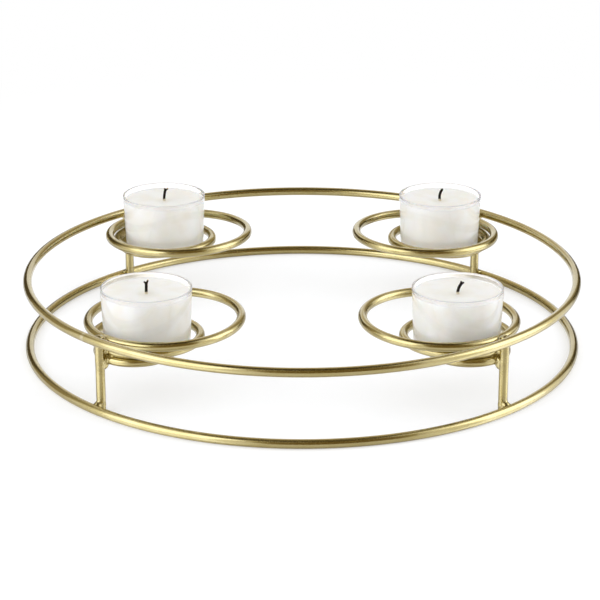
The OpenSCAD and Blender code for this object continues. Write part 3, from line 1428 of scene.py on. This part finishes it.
@dataclass(frozen=True)
class Card:
    """A dark card that only reflections see, as a studio hangs round shiny wire.

    It faces the object, or is turned from that by some degrees round the upright.
    """

    name: str
    azimuth: float
    elevation: float
    size: Point
    shade: Colour
    distance: float = 1.8
    turn: float = 0.0

    def build(self, target: Vector) -> None:
        """Makes the card.

        Args:
            target: The point that it faces.
        """
        source = bmesh.new()
        bmesh.ops.create_grid(source, x_segments=1, y_segments=1, size=0.5)
        bmesh.ops.scale(source, vec=(*self.size, 1.0), verts=source.verts)
        card = solid(source, self.name)
        card.location = target + toward(self.azimuth, self.elevation) * self.distance
        facing = (target - card.location).to_track_quat("Z", "Y").to_matrix()
        card.rotation_euler = (Matrix.Rotation(math.radians(self.turn), 3, "Z") @ facing).to_euler()
        graph = MaterialGraph(self.name)
        card.data.materials.append(graph.surface(graph.glow(self.shade)))
        card.visible_camera = card.visible_diffuse = card.visible_shadow = card.visible_transmission = False


@dataclass(frozen=True)
class Studio:
    """The camera, the pale floor, the soft lamps and the white surroundings."""

    distance: float = 1032.1 * MM
    elevation: float = 20.79
    lens: float = 136.02
    sensor: float = 36.0
    aim_up: float = 16.37 * MM
    aim_left: float = 0.9 * MM
    floor_r: float = 8.0
    floor_sides: int = 96
    floor_shade: float = 0.6
    floor_lift: float = 0.49
    metal_lift: float = 0.04
    floor_sheen: float = 0.45
    floor_roughness: float = 0.15
    fade_from: float = 0.22
    fade_to: float = 0.5
    ambient: float = 0.78
    softboxes: tuple[Softbox, ...] = (
        Softbox("left_softbox", 213.0, 25.0, (1.0, 0.95), level=1.56),
        Softbox("right_softbox", 0.0, 25.0, (0.76, 0.95), level=1.78),
    )
    cards: tuple[Card, ...] = (
        Card("camera_card", 284.0, 27.0, (2.1, 2.3), (0.2, 0.14, 0.05)),
        Card("ceiling_card", 90.0, 88.0, (1.7, 2.2), (0.07, 0.05, 0.02)),
        Card("back_card", 92.0, 45.0, (1.2, 1.4), (0.64, 0.56, 0.42)),
        Card("back_left_card", 151.0, 22.0, (1.1, 1.6), (0.36, 0.3, 0.18)),
        Card("back_right_card", 57.0, 22.0, (0.9, 1.6), (0.34, 0.28, 0.16)),
        Card("left_flag", 114.1, 10.0, (0.88, 0.21), (0.08, 0.06, 0.03), distance=0.623, turn=65.9),
        Card("right_flag", 54.0, 8.0, (0.48, 0.13), (0.05, 0.035, 0.015), distance=0.445, turn=-54.0),
    )

    def build(self, middle_z: float) -> None:
        """Makes the whole stage.

        Args:
            middle_z: The height of the lower hoop's wire, which the camera is set by.
        """
        middle = Vector((0, 0, middle_z))
        self.camera(middle)
        self.floor()
        self.world()
        for part in (*self.softboxes, *self.cards):
            part.build(middle)
        bpy.context.scene.view_settings.view_transform = "Standard"

    def camera(self, middle: Vector) -> None:
        """Makes the camera at the photograph's viewing angle.

        Args:
            middle: The middle of the lower hoop.
        """
        rise = math.radians(self.elevation)
        up = Vector((0, math.sin(rise), math.cos(rise)))
        data = bpy.data.cameras.new("photo_camera")
        data.lens, data.sensor_width = self.lens, self.sensor
        data.clip_start, data.clip_end = 0.01, 100.0
        camera = placed("photo_camera", data)
        camera.location = middle + toward(-90.0, self.elevation) * self.distance
        aim = middle + up * self.aim_up - Vector((self.aim_left, 0, 0))
        camera.rotation_euler = (aim - camera.location).to_track_quat("-Z", "Y").to_euler()
        bpy.context.scene.camera = camera

    def floor(self) -> None:
        """Makes the round floor."""
        source = bmesh.new()
        bmesh.ops.create_circle(source, cap_ends=True, segments=self.floor_sides, radius=self.floor_r)
        floor = solid(source, "studio_floor")
        floor.data.materials.append(self.floor_material())

    def floor_material(self) -> bpy.types.Material:
        """Makes a floor that is pale near the object, keeps its shadow, and is white further out.

        Only the camera, reflections and clear plastic see that white, so it puts no light on the object.
        Metal sees the sheen of its polished top, and with it the softboxes once more from below.

        Returns:
            The floor's material.
        """
        graph = MaterialGraph("studio_floor")
        path = graph.add("ShaderNodeLightPath").outputs
        direct = graph.math("MAXIMUM", path["Is Camera Ray"], path["Is Transmission Ray"])
        mirrored = graph.times(path["Is Glossy Ray"], self.metal_lift)
        lift = graph.plus(direct, self.floor_lift, mirrored)
        lit = graph.add("ShaderNodeBsdfDiffuse", {"Color": (self.floor_shade,) * 3}).outputs[0]
        polish = {"Color": (self.floor_sheen,) * 3, "Roughness": self.floor_roughness}
        sheen = graph.add("ShaderNodeBsdfAnisotropic", polish).outputs[0]
        top = graph.mixed(path["Is Glossy Ray"], lit, graph.both(lit, sheen))
        near = graph.both(top, graph.glow(WHITE, lift))
        length = graph.add("ShaderNodeVectorMath", {0: graph.place()}, operation="LENGTH").outputs["Value"]
        far = graph.times(graph.spread(length, self.fade_from, self.fade_to), seen(graph))
        return graph.surface(graph.mixed(far, near, graph.glow(WHITE)))

    def world(self) -> None:
        """Makes plain white surroundings that light the object less than they show."""
        world = bpy.data.worlds.new("white_room")
        bpy.context.scene.world = world
        world.use_nodes = True
        world.node_tree.nodes.clear()
        graph = Graph(world.node_tree)
        strength = graph.blend(seen(graph), self.ambient, 1.0)
        room = graph.add("ShaderNodeBackground", {"Color": WHITE, "Strength": strength})
        graph.add("ShaderNodeOutputWorld", {"Surface": room.outputs[0]})


def main() -> None:
    """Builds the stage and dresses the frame."""
    logging.basicConfig(level=logging.INFO, format="%(name)s: %(message)s", stream=sys.stdout)
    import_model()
    finishes = Finishes.from_frame()
    work = Wirework.from_frame(finishes)
    Studio().build(work.lower_z)
    work.build()
    for seat in Seat:
        SeatRings(seat, work).build()
        Tealight(seat, finishes, WICK_SHAPES[seat]).build()


if __name__ == "__main__":
    main()
